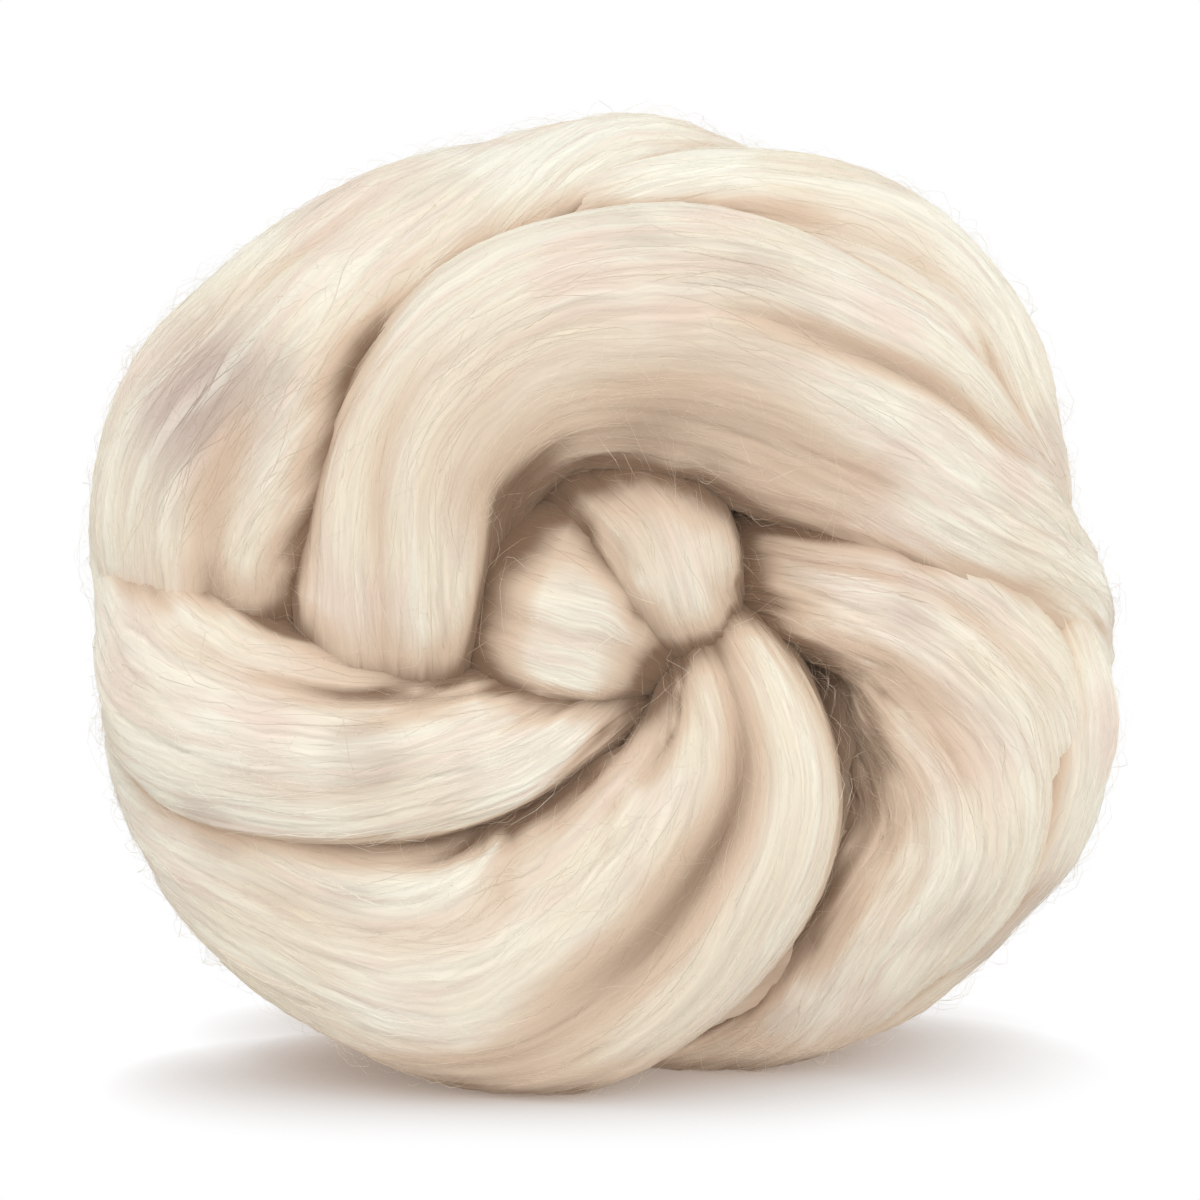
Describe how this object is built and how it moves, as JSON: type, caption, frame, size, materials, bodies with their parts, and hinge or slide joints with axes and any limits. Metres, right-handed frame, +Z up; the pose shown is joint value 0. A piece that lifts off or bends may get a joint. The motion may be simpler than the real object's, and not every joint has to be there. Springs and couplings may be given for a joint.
{
  "type": "wool roving",
  "caption": "Nest of undyed combed wool roving, wound into a ring of soft lobes around a tucked knob and standing on its edge.",
  "frame": {"origin": "middle of the nest's box, on the flat spot that it rests on", "axes": "+Z up; the face with the tucked knob looks towards -Y; +X is to the right of that face"},
  "size_m": [0.1647, 0.0883, 0.1525],
  "materials": {
    "wool": "soft matt"
  },
  "bodies": {
    "root": {"wound_roving": "wool"}
  },
  "joints": []
}
